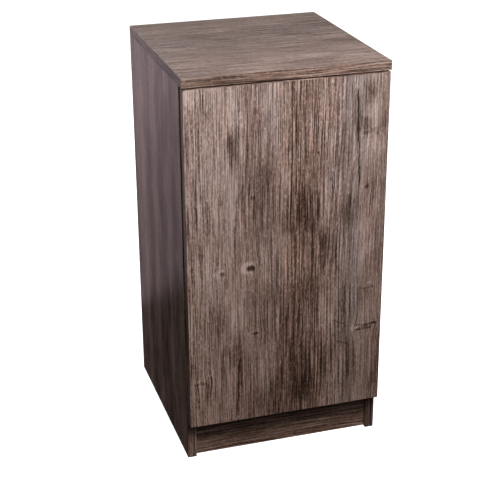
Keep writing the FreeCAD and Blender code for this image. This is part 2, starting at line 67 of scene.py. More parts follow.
def calc(tree, operation, *values, clamp=False):
    node = tree.nodes.new("ShaderNodeMath")
    node.operation = operation
    node.use_clamp = clamp
    for socket, value in zip(node.inputs, values):
        feed(tree, socket, value)
    return node.outputs[0]


def aim(tree, operation, *values):  # vector sums; a dot product leaves by the number socket
    node = tree.nodes.new("ShaderNodeVectorMath")
    node.operation = operation
    for socket, value in zip(node.inputs, values):
        feed(tree, socket, value)
    return node.outputs[1] if operation == "DOT_PRODUCT" else node.outputs[0]


def total(tree, *values):
    result = values[0]
    for value in values[1:]:
        result = calc(tree, "ADD", result, value)
    return result


def scaled(tree, value, gain, offset=0.0):
    return calc(tree, "MULTIPLY_ADD", value, gain, offset)


def spread(tree, value, low, high, newLow=0.0, newHigh=1.0, smooth=True):
    node = tree.nodes.new("ShaderNodeMapRange")
    node.interpolation_type = "SMOOTHSTEP" if smooth else "LINEAR"
    for socket, given in zip(node.inputs, (value, low, high, newLow, newHigh)):
        feed(tree, socket, given)
    return node.outputs[0]


def blendColour(tree, factor, first, second, way="MIX"):
    node = tree.nodes.new("ShaderNodeMix")
    node.data_type = "RGBA"
    node.blend_type = way
    node.clamp_factor = True
    feed(tree, node.inputs[0], factor)
    feed(tree, node.inputs[6], first)
    feed(tree, node.inputs[7], second)
    return node.outputs[2]


def colourRamp(tree, value, stops):
    node = tree.nodes.new("ShaderNodeValToRGB")
    ramp = node.color_ramp
    while len(ramp.elements) < len(stops):
        ramp.elements.new(0.5)
    for element, (place, colour) in zip(ramp.elements, stops):
        element.position = place
        element.color = (*colour, 1.0)
    feed(tree, node.inputs[0], value)
    return node.outputs[0]


def toneRamp(tree, value, stops):  # a curve through (place, tone) pairs, places from 0 to 1
    return colourRamp(tree, value, [(place, (tone, tone, tone)) for place, tone in stops])


def seat(tree, across, along):  # a place on the board: across the grain, along it
    node = tree.nodes.new("ShaderNodeCombineXYZ")
    feed(tree, node.inputs[0], across)
    feed(tree, node.inputs[1], along)
    return node.outputs[0]


def noiseAt(tree, spot, wide, length, seed, detail=2.0, rough=0.55):
    # noise whose lumps are wide metres across the grain and length metres along it
    noise = tree.nodes.new("ShaderNodeTexNoise")
    noise.inputs["Scale"].default_value = 1.0
    noise.inputs["Detail"].default_value = detail
    noise.inputs["Roughness"].default_value = rough
    where = aim(tree, "MULTIPLY_ADD", spot, (1 / wide, 1 / length, 0.0), (0.0, 0.0, seed))
    tree.links.new(where, noise.inputs["Vector"])
    return noise


def swinging(tree, noise, gain):  # a noise moved to swing about zero
    return scaled(tree, noise.outputs[0], gain, -0.5 * gain)


def strayed(tree, noise, reach, spot):  # the spot moved by a coloured noise, up to half the reach either way
    moved = aim(tree, "MULTIPLY_ADD", noise.outputs[1], reach, spot)
    return aim(tree, "SUBTRACT", moved, tuple(0.5 * part for part in reach))


def wayFrom(tree, spot, place, wide, tall):  # the way from the place, in half-widths and half-heights
    start = (-place[0] / wide, -place[1] / tall, 0.0)
    return aim(tree, "MULTIPLY_ADD", spot, (1 / wide, 1 / tall, 0.0), start)


def hill(tree, spot, place, wide, tall, power=1.0):
    # one at the place, falling off as exp of minus the squared distance, which counts in half-sizes
    # and is raised to the power
    away = wayFrom(tree, spot, place, wide, tall)
    far = aim(tree, "DOT_PRODUCT", away, away)
    if power != 1.0:
        far = calc(tree, "POWER", far, power)
    return calc(tree, "POWER", math.exp(-1.0), far)


def crack(tree, spot, foot, head, wide, taper=0.12):
    # nearness to the straight line from foot to head, fading over the taper's share at both ends
    start = Vector(foot)
    run = Vector(head) - start
    way = run.normalized()
    onward = calc(tree, "SUBTRACT", aim(tree, "DOT_PRODUCT", spot, (way.x, way.y, 0.0)), start.dot(way))
    aside = calc(tree, "SUBTRACT", aim(tree, "DOT_PRODUCT", spot, (way.y, -way.x, 0.0)),
                 start.x * way.y - start.y * way.x)
    near = scaled(tree, aside, 1 / wide)
    line = calc(tree, "POWER", math.exp(-1.0), calc(tree, "MULTIPLY", near, near))
    ends = calc(tree, "MULTIPLY", spread(tree, onward, 0.0, taper * run.length),
                spread(tree, onward, run.length, (1.0 - taper) * run.length))
    return calc(tree, "MULTIPLY", line, ends)


def newMaterial(name):
    material = bpy.data.materials.new(name)
    material.use_nodes = True
    tree = material.node_tree
    return material, tree, tree.nodes["Principled BSDF"]


def objectSpot(tree):
    coordinates = tree.nodes.new("ShaderNodeTexCoord").outputs["Object"]
    parts = tree.nodes.new("ShaderNodeSeparateXYZ")
    tree.links.new(coordinates, parts.inputs[0])
    return dict(zip("xyz", parts.outputs), whole=coordinates)


def roughSurface(tree, shader, height, strength, distance):
    bump = tree.nodes.new("ShaderNodeBump")
    bump.inputs["Strength"].default_value = strength
    bump.inputs["Distance"].default_value = distance
    tree.links.new(height, bump.inputs["Height"])
    tree.links.new(bump.outputs[0], shader.inputs["Normal"])


def dress(material, *names):
    for name in names:
        slots = cad[name].data.materials
        if len(slots) == 0:
            slots.append(material)
        for index in range(len(slots)):
            slots[index] = material


# the printed wood of all boards: brown darks, greyer lights; lengths in metres
decor = {
    "ramp": [(0.0, (0.020, 0.010, 0.007)), (0.20, (0.066, 0.039, 0.030)), (0.42, (0.152, 0.102, 0.084)),
             (0.65, (0.268, 0.196, 0.170)), (1.0, (0.470, 0.375, 0.340))],
    "lift": 0.070,                      # added to the tone everywhere
    "greyTint": (0.89, 0.93, 0.99, 1.0),
    "brownTint": (1.05, 0.94, 0.87, 1.0),
    "raggedness": (0.007, 0.007, 0.0),  # how far the edges of knots and cracks stray
    "wander": (0.030, 0.080, 0.0),      # how much further stains and pale patches do, mostly along the grain
    "blotch": (2.8, -0.5),              # gain and offset of the noise that breaks up the stains
    "fleckPeaks": (0.57, 0.70),         # only these peaks of a short noise show as flecks
    "fleckGain": 0.30,
    "ringGap": 0.0078,                  # from one growth line to the next
    "ringPower": 4.0,                   # more makes them narrower
    "ringBreaks": (0.28, 0.62),         # from where to where in a noise they appear
    "ringDepth": 0.60,
    "roughness": 0.32,
    "dullTones": (0.15, 0.75),          # between these tones the gloss grows
    "dullness": 0.10,                   # how much rougher the dark tones are
    "specular": 0.42,
    "bump": (0.12, 0.0006),             # strength and distance
    "rawRoughness": 0.85,               # of bare chipboard
}

# layers of the grain: size is a lump's width and length in metres, step is added to the board's seed
layers = {
    "sway": {"size": (0.16, 0.45), "step": 0.3, "gain": 0.022, "detail": 1.0},  # slow wander of the grain
    "shiver": {"size": (0.020, 0.060), "step": 0.7, "gain": 0.0013, "detail": 1.0},  # quick wander
    "broad": {"size": (0.034, 0.90), "step": 1.0, "gain": 0.28},
    "cloud": {"size": (0.050, 0.13), "step": 2.0, "gain": 0.36, "detail": 3.0},
    "middle": {"size": (0.0095, 0.30), "step": 3.0, "gain": 0.09},
    "fine": {"size": (0.0032, 0.45), "step": 4.0, "gain": 0.32, "rough": 0.6},
    "hair": {"size": (0.0017, 0.12), "step": 5.0, "gain": 2.00, "detail": 1.0},
    "grit": {"size": (0.0019, 0.0075), "step": 5.5, "gain": 0.75, "detail": 1.0},
    "dash": {"size": (0.0026, 0.034), "step": 5.7, "gain": 0.60, "detail": 1.0},
    "fleck": {"size": (0.0021, 0.0085), "step": 5.9, "detail": 1.0},
    "drift": {"size": (0.035, 1.10), "step": 6.0, "gain": 9.0},  # phase of the growth lines
    "breaks": {"size": (0.008, 0.22), "step": 6.5},  # where they stop
    "grey": {"size": (0.022, 0.22), "step": 7.0, "gain": 0.9},
    "blotch": {"size": (0.0035, 0.06), "step": 8.0},
    "ragged": {"size": (0.012, 0.016), "step": 9.0},
    "wander": {"size": (0.022, 0.050), "step": 9.5, "detail": 3.0},
}

# knots: reaches count in a knot's own half-width and half-height
knotShape = {
    "pushReach": (1.5, 3.2),   # how far off the grain bends round it
    "push": 0.42,
    "core": 0.80,              # dark middle
    "coreDepth": 0.62,
    "edge": 2.0,               # hardness of the core's and the rim's edges
    "rimPaintedHighlightShift": (-0.45, 0.15),  # the pale rim lies to the upper left: a painted highlight, as of a raised knot lit from there
    "rimReach": 1.35,
    "rimGain": 0.50,
    "ringedFrom": 0.010,       # a knot of more than this half-width has year rings
    "ringReach": (2.2, 2.0),
    "ringRate": 9.0,           # radians to a half-width
    "ringGain": 0.11,
}

# curves run from 0 to 1 across the board, the fade along it
plainLooks = {
    "planks": [(0.0, 0.47), (0.2, 0.52), (0.35, 0.43), (0.5, 0.50), (0.7, 0.42), (0.85, 0.50), (1.0, 0.46)],
    "lines": [(0.0, 0.9), (0.3, 0.6), (0.6, 0.9), (1.0, 0.7)],
    "rings": [(0.0, 0.8), (0.3, 0.4), (0.6, 0.8), (1.0, 0.5)],
    "fade": [(0.0, 1.0), (1.0, 1.0)],
    "swing": 1.0,  # how far the broad bands go
    "grey": [(0.0, 0.4), (0.5, 0.6), (1.0, 0.4)],
    "paintedSheenGreyRise": (0.0, 0.0),
    "knots": (),
    "stains": (),
    "pales": (),
    "cracks": (),
}

doorLooks = {
    "seed": 3.0,
    "swing": 1.0,
    # tone of the planks from the left edge to the right one
    "planks": [(0.0, 0.60), (0.08, 0.58), (0.13, 0.60), (0.20, 0.64), (0.25, 0.50), (0.31, 0.50),
               (0.37, 0.47), (0.43, 0.50), (0.508, 0.48), (0.522, 0.36), (0.64, 0.38), (0.67, 0.49),
               (0.75, 0.53), (0.81, 0.46), (0.86, 0.54), (0.93, 0.55), (1.0, 0.47)],
    "lines": [(0.0, 1.2), (0.10, 1.1), (0.16, 0.85), (0.30, 0.8), (0.42, 0.8), (0.55, 1.0), (0.75, 1.0),
              (0.85, 0.6), (1.0, 0.75)],
    "rings": [(0.0, 0.45), (0.08, 0.45), (0.12, 0.20), (0.21, 0.25), (0.24, 0.40), (0.31, 0.40), (0.35, 0.28),
              (0.46, 0.35), (0.51, 0.80), (0.80, 0.80), (0.85, 0.20), (1.0, 0.40)],
    # how plain the growth lines and the fine streaks stand out, from the foot to the head
    "fade": [(0.0, 0.58), (0.15, 0.70), (0.30, 0.85), (0.45, 0.60), (0.72, 0.55), (0.82, 0.85), (1.0, 0.88)],
    "grey": [(0.0, 0.45), (0.20, 0.55), (0.30, 0.45), (0.36, 0.60), (0.46, 0.5), (0.52, 0.16), (0.64, 0.25),
             (0.70, 0.50), (0.75, 0.50), (0.80, 0.95), (0.86, 0.80), (0.92, 0.55), (1.0, 0.60)],
    "paintedSheenGreyRise": (-0.40, 0.12),  # browner at the foot, greyer at the head: painted sheen of the light from above
    # knots: place (x, z), half-width, half-height, depth of the dark core, pale rim (partly painted
    # highlight)
    "knots": [
        ((-0.0733, 0.4087), 0.0115, 0.0090, 0.95, 1.10), ((-0.1300, 0.4040), 0.0105, 0.0060, 0.45, 0.60),
        ((-0.0692, 0.5515), 0.0055, 0.0060, 0.45, 0.25), ((-0.1316, 0.5494), 0.0075, 0.0065, 0.32, 0.0),
        ((0.1564, 0.5487), 0.0070, 0.0055, 0.50, 0.10), ((-0.0914, 0.7031), 0.0050, 0.0060, 0.12, 0.40),
        ((-0.0625, 0.7167), 0.0055, 0.0085, 0.38, 0.0), ((0.0590, 0.6279), 0.0033, 0.0038, 0.70, 0.0),
        ((0.0861, 0.7548), 0.0060, 0.0055, 0.30, 0.20), ((-0.0650, 0.2692), 0.0100, 0.0040, 0.62, 0.30),
        ((0.1545, 0.6560), 0.0100, 0.0060, 0.25, 0.35), ((0.1660, 0.2500), 0.0190, 0.0060, 0.36, 0.45),
        ((-0.1755, 0.1761), 0.0150, 0.0055, 0.55, 0.10), ((0.1835, 0.2545), 0.0075, 0.0042, 0.55, 0.0),
        ((0.1500, 0.2448), 0.0085, 0.0040, 0.45, 0.20),
    ],
    # stains: place (x, z), half-width, half-height, strength
    "stains": [((-0.110, 0.652), 0.009, 0.026, 0.50), ((0.028, 0.510), 0.030, 0.036, 0.24),
               ((-0.055, 0.515), 0.038, 0.065, 0.15), ((-0.095, 0.600), 0.006, 0.045, 0.16),
               ((0.050, 0.470), 0.024, 0.030, 0.14), ((0.125, 0.512), 0.022, 0.040, 0.28),
               ((0.157, 0.735), 0.011, 0.020, 0.32), ((0.152, 0.674), 0.018, 0.010, 0.22),
               ((0.170, 0.664), 0.016, 0.006, 0.20), ((0.018, 0.155), 0.042, 0.075, 0.24),
               ((0.000, 0.270), 0.014, 0.070, 0.17), ((-0.139, 0.300), 0.018, 0.030, 0.20),
               ((-0.108, 0.235), 0.014, 0.035, 0.32), ((-0.128, 0.245), 0.007, 0.012, 0.20),
               ((-0.055, 0.120), 0.018, 0.030, 0.14), ((-0.082, 0.590), 0.012, 0.050, 0.18),
               ((0.135, 0.170), 0.009, 0.050, 0.16), ((-0.040, 0.590), 0.018, 0.040, 0.12),
               ((0.058, 0.330), 0.016, 0.060, 0.08), ((-0.020, 0.330), 0.009, 0.050, 0.12),
               ((0.185, 0.110), 0.020, 0.032, 0.24), ((-0.022, 0.200), 0.006, 0.080, 0.12),
               ((0.036, 0.112), 0.020, 0.042, 0.24), ((-0.030, 0.110), 0.016, 0.050, 0.22),
               ((0.078, 0.425), 0.022, 0.036, 0.22), ((-0.124, 0.150), 0.022, 0.060, 0.09)],
    # pale patches, as the stains
    "pales": [((-0.109, 0.715), 0.006, 0.050, 0.20), ((-0.045, 0.735), 0.016, 0.030, 0.14),
              ((0.165, 0.700), 0.016, 0.024, 0.14), ((0.158, 0.630), 0.022, 0.020, 0.14),
              ((-0.098, 0.370), 0.012, 0.040, 0.12), ((-0.110, 0.300), 0.006, 0.036, 0.16),
              ((0.150, 0.480), 0.012, 0.030, 0.14), ((0.165, 0.420), 0.018, 0.016, 0.12),
              ((-0.108, 0.470), 0.004, 0.060, 0.14), ((0.105, 0.105), 0.010, 0.030, 0.16),
              ((0.131, 0.630), 0.004, 0.050, 0.20), ((0.168, 0.338), 0.016, 0.0016, 0.22),
              ((-0.180, 0.390), 0.022, 0.004, 0.10), ((0.138, 0.240), 0.005, 0.022, 0.14),
              ((0.074, 0.275), 0.020, 0.035, 0.09), ((0.150, 0.748), 0.040, 0.026, 0.07),
              ((-0.150, 0.655), 0.045, 0.035, 0.06)],
    # cracks: foot and head (x, z), half-width, strength
    "cracks": [((-0.1045, 0.445), (-0.1005, 0.562), 0.0013, 0.50),
               ((0.1345, 0.745), (0.1385, 0.640), 0.0016, 0.75),
               ((0.1380, 0.655), (0.1430, 0.548), 0.0014, 0.70),
               ((-0.1040, 0.085), (-0.0960, 0.225), 0.0020, 0.60),
               ((0.0950, 0.2755), (0.1280, 0.2560), 0.0010, 0.34),
               ((0.1010, 0.2275), (0.1330, 0.2150), 0.0010, 0.32),
               ((0.1400, 0.2550), (0.1910, 0.2548), 0.0017, 0.45),
               ((0.1500, 0.3350), (0.1830, 0.3345), 0.0011, 0.26),
               ((-0.0118, 0.085), (-0.0115, 0.330), 0.0016, 0.30),
               ((0.0070, 0.560), (0.0070, 0.790), 0.0012, 0.26),
               ((0.1210, 0.085), (0.1190, 0.230), 0.0014, 0.26),
               ((0.1420, 0.2445), (0.1800, 0.2455), 0.0018, 0.42)],
}


def layerNoise(tree, spot, name, seed):
    layer = layers[name]
    finish = {key: layer[key] for key in ("detail", "rough") if key in layer}
    return noiseAt(tree, spot, *layer["size"], seed + layer["step"], **finish)


def layerTone(tree, spot, name, seed, share=1.0):  # a share of the layer, swinging about zero
    return swinging(tree, layerNoise(tree, spot, name, seed), layers[name]["gain"] * share)


def knotted(tree, board, across, torn, grain, knots):
    # the grain pushed aside round each knot, and the knots' own marks: dark core, pale rim moved to the upper
    # left as a painted highlight, year rings
    shape = knotShape
    marks = 0.0
    for spot, wide, tall, depth, rim in knots:
        bend = hill(tree, board, spot, wide * shape["pushReach"][0], tall * shape["pushReach"][1])
        aside = calc(tree, "SUBTRACT", across, spot[0])
        push = calc(tree, "MULTIPLY", aside, scaled(tree, bend, shape["push"]))
        grain = calc(tree, "SUBTRACT", grain, push)
        core = hill(tree, torn, spot, wide * shape["core"], tall * shape["core"], shape["edge"])
        marks = calc(tree, "MULTIPLY_ADD", core, -shape["coreDepth"] * depth, marks)
        if rim > 0.0:
            # the rim's disc sits off to the upper left: painted highlight, as if the knot stood raised under
            # light from there
            middle = (spot[0] + shape["rimPaintedHighlightShift"][0] * wide, spot[1] + shape["rimPaintedHighlightShift"][1] * tall)
            disc = hill(tree, torn, middle, wide * shape["rimReach"], tall * shape["rimReach"], shape["edge"])
            rimWithPaintedHighlight = calc(tree, "SUBTRACT", disc, core, clamp=True)
            marks = calc(tree, "MULTIPLY_ADD", rimWithPaintedHighlight, shape["rimGain"] * rim, marks)
        if wide > shape["ringedFrom"]:  # a sine of the distance, fading outwards
            away = wayFrom(tree, torn, spot, wide, tall)
            far = calc(tree, "SQRT", aim(tree, "DOT_PRODUCT", away, away))
            swell = hill(tree, torn, spot, wide * shape["ringReach"][0], tall * shape["ringReach"][1])
            swell = calc(tree, "SUBTRACT", swell, core, clamp=True)
            whorl = calc(tree, "MULTIPLY", calc(tree, "SINE", scaled(tree, far, shape["ringRate"])), swell)
            marks = calc(tree, "MULTIPLY_ADD", whorl, shape["ringGain"], marks)
    return grain, marks


def growthLines(tree, fibre, grain, seed):
    # a sine across the grain, drifting in phase, raised to a power to narrow the lines, and broken along them
    drift = layerTone(tree, fibre, "drift", seed)
    phase = calc(tree, "MULTIPLY_ADD", grain, 2 * math.pi / decor["ringGap"], drift)
    wave = calc(tree, "POWER", scaled(tree, calc(tree, "SINE", phase), 0.5, 0.5), decor["ringPower"])
    whole = spread(tree, layerNoise(tree, fibre, "breaks", seed).outputs[0], *decor["ringBreaks"])
    return calc(tree, "MULTIPLY", wave, whole)


def marked(tree, tone, torn, loose, fibre, looks):
    # stains darken through a blotchy noise, pale patches lighten, cracks cut dark lines
    stain = 0.0
    for spot, wide, tall, strength in looks["stains"]:
        stain = calc(tree, "MULTIPLY_ADD", hill(tree, loose, spot, wide, tall), -strength, stain)
    if looks["stains"]:
        blotch = scaled(tree, layerNoise(tree, fibre, "blotch", looks["seed"]).outputs[0], *decor["blotch"])
        tone = calc(tree, "MULTIPLY_ADD", stain, blotch, tone)
    for spot, wide, tall, strength in looks["pales"]:
        tone = calc(tree, "MULTIPLY_ADD", hill(tree, loose, spot, wide, tall), strength, tone)
    for foot, head, wide, strength in looks["cracks"]:
        tone = calc(tree, "MULTIPLY_ADD", crack(tree, torn, foot, head, wide), -strength, tone)
    return tone


def grainTone(tree, across, along, looks, span, rise):
    # the print's tone, how grey it is (on the door also greyer towards the head as painted sheen), and its
    # lines by themselves
    seed = looks["seed"]
    swing = looks["swing"]
    board = seat(tree, across, along)
    place = spread(tree, across, *span, smooth=False)
    torn = strayed(tree, layerNoise(tree, board, "ragged", seed), decor["raggedness"], board)
    loose = strayed(tree, layerNoise(tree, board, "wander", seed), decor["wander"], torn)
    # the grain's own coordinate: the place across, swayed by slow noise and pushed aside round each knot
    swayed = total(tree, across, layerTone(tree, board, "sway", seed), layerTone(tree, board, "shiver", seed))
    grain, knotMarks = knotted(tree, board, across, torn, swayed, looks["knots"])
    fibre = seat(tree, grain, along)
    broad = layerTone(tree, fibre, "broad", seed, swing)
    cloud = layerTone(tree, board, "cloud", seed, swing)
    middle = layerTone(tree, fibre, "middle", seed, swing)
    fine = layerTone(tree, fibre, "fine", seed)
    thin = total(tree, *[layerTone(tree, fibre, name, seed) for name in ("hair", "grit", "dash")])
    peaks = layerNoise(tree, fibre, "fleck", seed).outputs[0]
    thin = calc(tree, "ADD", thin, spread(tree, peaks, *decor["fleckPeaks"], 0.0, decor["fleckGain"]))
    ringShare = toneRamp(tree, place, looks["rings"])
    rings = calc(tree, "MULTIPLY", growthLines(tree, fibre, grain, seed), ringShare)
    weight = toneRamp(tree, place, looks["lines"])
    fade = toneRamp(tree, spread(tree, along, *rise, smooth=False), looks["fade"])
    bold = calc(tree, "MULTIPLY_ADD", rings, -decor["ringDepth"], calc(tree, "MULTIPLY", fine, weight))
    lines = calc(tree, "MULTIPLY_ADD", thin, weight, calc(tree, "MULTIPLY", bold, fade))
    planks = toneRamp(tree, place, looks["planks"])
    tone = total(tree, planks, broad, cloud, middle, lines, knotMarks, decor["lift"])
    tone = marked(tree, tone, torn, loose, fibre, looks)
    # the grey share also rises along the board: on the door this is painted sheen, greyer towards the head
    grey = total(tree, toneRamp(tree, place, looks["grey"]), layerTone(tree, fibre, "grey", seed),
                 spread(tree, along, *rise, *looks["paintedSheenGreyRise"], smooth=False))
    return tone, grey, lines


chips = {
    "cells": 620.0,  # how many to the metre
    "grains": 900.0,
    "detail": 3.0,
    "share": 0.55,   # of each in the tone
    "ramp": [(0.15, (0.16, 0.10, 0.055)), (0.5, (0.36, 0.25, 0.15)), (0.9, (0.56, 0.43, 0.29))],
}


def chipboard(tree, spot):
    # pressed wood chips: cells and noise in straw and brown
    cells = tree.nodes.new("ShaderNodeTexVoronoi")
    cells.inputs["Scale"].default_value = chips["cells"]
    tree.links.new(spot["whole"], cells.inputs["Vector"])
    grains = tree.nodes.new("ShaderNodeTexNoise")
    grains.inputs["Scale"].default_value = chips["grains"]
    grains.inputs["Detail"].default_value = chips["detail"]
    tree.links.new(spot["whole"], grains.inputs["Vector"])
    grainShare = scaled(tree, grains.outputs[0], chips["share"])
    shade = calc(tree, "MULTIPLY_ADD", cells.outputs["Color"], chips["share"], grainShare)
    return colourRamp(tree, shade, chips["ramp"])


def decorBoard(name, looks, across, along, span, rise=(0.0, 1.0), rawEdges=(), gain=1.0,
               roughness=decor["roughness"], brown=decor["brownTint"]):
    material, tree, shader = newMaterial(name)
    spot = objectSpot(tree)
    onward = total(tree, *[spot[axis] for axis in along])
    tone, grey, lines = grainTone(tree, spot[across], onward, looks, span, rise)
    tints = [tuple(gain * part for part in tint) for tint in (brown, decor["greyTint"])]
    colour = colourRamp(tree, tone, decor["ramp"])
    colour = blendColour(tree, 1.0, colour, blendColour(tree, grey, *tints), "MULTIPLY")
    rough = spread(tree, tone, *decor["dullTones"], roughness + decor["dullness"], roughness)
    for axis, side, limit in rawEdges:
        bare = calc(tree, "GREATER_THAN" if side == "above" else "LESS_THAN", spot[axis], limit)
        colour = blendColour(tree, bare, colour, chipboard(tree, spot))
        rough = calc(tree, "MAXIMUM", rough, scaled(tree, bare, decor["rawRoughness"]))
    tree.links.new(colour, shader.inputs["Base Color"])
    tree.links.new(rough, shader.inputs["Roughness"])
    shader.inputs["Specular IOR Level"].default_value = decor["specular"]
    roughSurface(tree, shader, lines, *decor["bump"])
    return material


def boardLooks(seed, **more):
    return dict(plainLooks, seed=seed, **more)


def reachOf(node, axis):  # a node's lowest and highest place on an axis
    return tuple(getattr(corner, axis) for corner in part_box(node))


def dressBoards(group):
    for name, board in group.items():
        settings = {key: value for key, value in board.items() if key != "nodes"}
        dress(decorBoard(name, **settings), *board["nodes"])


low, high = cadBox
onFace = 0.0001  # what lies this near to a face counts as on it
rearEdge = ("y", "above", high[1] - onFace)
floorEdge = ("z", "below", low[2] + onFace)
browns = {"door": (1.07, 0.925, 0.84, 1.0), "sides": (1.12, 0.93, 0.86, 1.0), "feet": (1.10, 0.93, 0.81, 1.0)}
noGrey = [(0.0, 0.0), (1.0, 0.0)]

# sides: tone from the front edge to the rear one
sideLooks = {
    "planks": [(0.0, 0.40), (0.12, 0.32), (0.24, 0.40), (0.27, 0.56), (0.31, 0.26), (0.40, 0.18),
               (0.46, 0.26), (0.51, 0.60), (0.57, 0.53), (0.62, 0.30), (0.70, 0.35), (0.78, 0.57),
               (0.90, 0.52), (0.95, 0.40), (1.0, 0.48)],
    "lines": [(0.0, 0.80), (1.0, 0.80)],
    "rings": [(0.0, 0.60), (1.0, 0.60)],
    "swing": 2.20,
    "grey": [(0.0, 0.0), (0.5, 0.1), (1.0, 0.0)],
    "knots": [((0.150, 0.680), 0.012, 0.008, 0.5, 0.4), ((0.070, 0.300), 0.010, 0.008, 0.5, 0.2)],
}
plinthLooks = {
    "planks": [(0.0, 0.50), (0.4, 0.46), (0.7, 0.50), (1.0, 0.44)],
    "lines": [(0.0, 0.85), (1.0, 0.85)],
    "grey": noGrey,
}
upright = {"across": "y", "along": "z", "span": (reachOf("left_side_panel", "y")[0], high[1]),
           "rawEdges": [rearEdge, floorEdge], "gain": 1.10, "roughness": 0.22, "brown": browns["sides"]}
level = {"across": "y", "along": "x", "span": (low[1], high[1])}
shelfEdge = ("y", "above", reachOf("shelf", "y")[1] - onFace)
railReach = reachOf("rear_rail", "z")
boards = {
    "doorDecor": {"nodes": ["door_panel"], "looks": doorLooks, "across": "x", "along": "z",
                  "span": reachOf("door_panel", "x"), "rise": reachOf("door_panel", "z"),
                  "brown": browns["door"]},
    "leftSideDecor": {"nodes": ["left_side_panel"], "looks": boardLooks(21.0, **sideLooks), **upright},
    "rightSideDecor": {"nodes": ["right_side_panel"], "looks": boardLooks(27.0, **sideLooks), **upright},
    "topDecor": {"nodes": ["top_panel"], "looks": boardLooks(33.0), "rawEdges": [rearEdge], **level},
    "floorBoardDecor": {"nodes": ["bottom_panel"], "looks": boardLooks(39.0), **level},
    "shelfDecor": {"nodes": ["shelf"], "looks": boardLooks(45.0), "rawEdges": [shelfEdge], **level},
    "plinthDecor": {"nodes": ["front_plinth", "rear_plinth"], "looks": boardLooks(51.0, **plinthLooks),
                    "across": "z", "along": "x", "span": (0.0, reachOf("front_plinth", "z")[1]),
                    "rawEdges": [floorEdge], "brown": browns["feet"]},
    "railDecor": {"nodes": ["rear_rail"], "looks": boardLooks(57.0), "across": "z", "along": "x",
                  "span": railReach, "rawEdges": [("z", "below", railReach[0] + onFace)]},
}
dressBoards(boards)
print("boards dressed")

# edge bands: the grain runs along each strip; the right foot's strip is darkened by its gain as painted shade
footBand = {"across": "x", "along": "z", "span": (low[0], high[0]), "roughness": 0.5, "brown": browns["feet"]}
bands = {
    "topBandDecor": {"nodes": ["top_edge_bands"], "looks": boardLooks(63.0, grey=noGrey), "across": "z",
                     "along": "xy", "span": reachOf("top_edge_bands", "z"), "gain": 0.76},
    "shelfBandDecor": {"nodes": ["bottom_edge_band", "shelf_edge_band"], "looks": boardLooks(66.0),
                       "across": "z", "along": "x", "span": (low[2], high[2])},
    "leftBandDecor": {"nodes": ["left_side_edge_band"], "looks": boardLooks(69.0, grey=noGrey),
                      "gain": 1.05, **footBand},
    # the right foot's strip: gain 0.55 darkens its print as painted shade, where the door shades it near the
    # hinge
    "rightBandPaintedShadeDecor": {"nodes": ["right_side_edge_band"], "looks": boardLooks(75.0, grey=noGrey),
                       "gain": 0.55, **footBand},
    "doorBandDecor": {"nodes": ["door_edge_bands"], "across": "y", "along": "xz",
                      "looks": boardLooks(72.0, planks=[(0.0, 0.40), (1.0, 0.36)], grey=noGrey),
                      "span": reachOf("door_panel", "y"), "roughness": 0.24},
}
dressBoards(bands)
print("edge bands dressed")

# back board; noises: lump width and length in metres, seed, detail
backLooks = {
    "speck": (0.0015, 0.0015, 4.0, 3.0),
    "speckGain": (0.7, 0.15),
    "cloud": (0.08, 0.08, 5.0, 3.0),
    "cloudGain": 0.5,
    "ramp": [(0.1, (0.13, 0.085, 0.052)), (0.5, (0.22, 0.150, 0.098)), (0.9, (0.32, 0.230, 0.158))],
    "roughness": 0.62,
    "bump": (0.25, 0.0004),
}


def hardboard(name, looks):
    material, tree, shader = newMaterial(name)
    spot = objectSpot(tree)
    flat = seat(tree, spot["x"], spot["z"])
    speck = noiseAt(tree, flat, *looks["speck"]).outputs[0]
    cloud = swinging(tree, noiseAt(tree, flat, *looks["cloud"]), looks["cloudGain"])
    shade = total(tree, scaled(tree, speck, *looks["speckGain"]), cloud)
    tree.links.new(colourRamp(tree, shade, looks["ramp"]), shader.inputs["Base Color"])
    shader.inputs["Roughness"].default_value = looks["roughness"]
    roughSurface(tree, shader, speck, *looks["bump"])
    return material


dress(hardboard("hardboard", backLooks), "back_panel")


def wrapped(tree):  # a flat place on a small piece: x and y together, then z
    spot = objectSpot(tree)
    return seat(tree, total(tree, spot["x"], spot["y"]), spot["z"])


def twoTones(tree, shader, noise, peaks, tones):
    tree.links.new(colourRamp(tree, noise, list(zip(peaks, tones))), shader.inputs["Base Color"])


# metals: dark and light tone, roughness, lump width of the brushing in metres
brushing = {
    "stretch": 6,           # lump length over lump width
    "seed": 2.0,
    "detail": 3.0,
    "peaks": (0.3, 0.7),    # where the noise is all dark and all light
    "gloss": (0.08, -0.05),  # added to the roughness there
}
metals = {
    "hingeSteel": {"tones": ((0.52, 0.51, 0.48), (0.70, 0.69, 0.66)), "roughness": 0.30, "wide": 0.0012,
                   "nodes": [place + piece for place in ("lower_", "upper_") for piece in
                             ("hinge_cup", "outer_link", "inner_link", "hinge_arm", "mounting_plate")]},
    "pinSteel": {"tones": ((0.46, 0.46, 0.45), (0.64, 0.64, 0.63)), "roughness": 0.26, "wide": 0.0008,
                 "nodes": ["hinge_arm_pins", "hinge_cup_pins", "hinge_adjusting_screws", "shelf_pins",
                           "latch_magnet"]},
    "zincPlating": {"tones": ((0.42, 0.43, 0.43), (0.62, 0.62, 0.61)), "roughness": 0.36, "wide": 0.0007,
                    "nodes": ["hinge_cup_screws", "hinge_plate_screws", "back_panel_screws", "latch_screws",
                              "cam_bolts", "striker_plate"]},
    "zincCasting": {"tones": ((0.34, 0.34, 0.34), (0.50, 0.50, 0.50)), "roughness": 0.48, "wide": 0.0009,
                    "nodes": ["cam_locks"]},
}


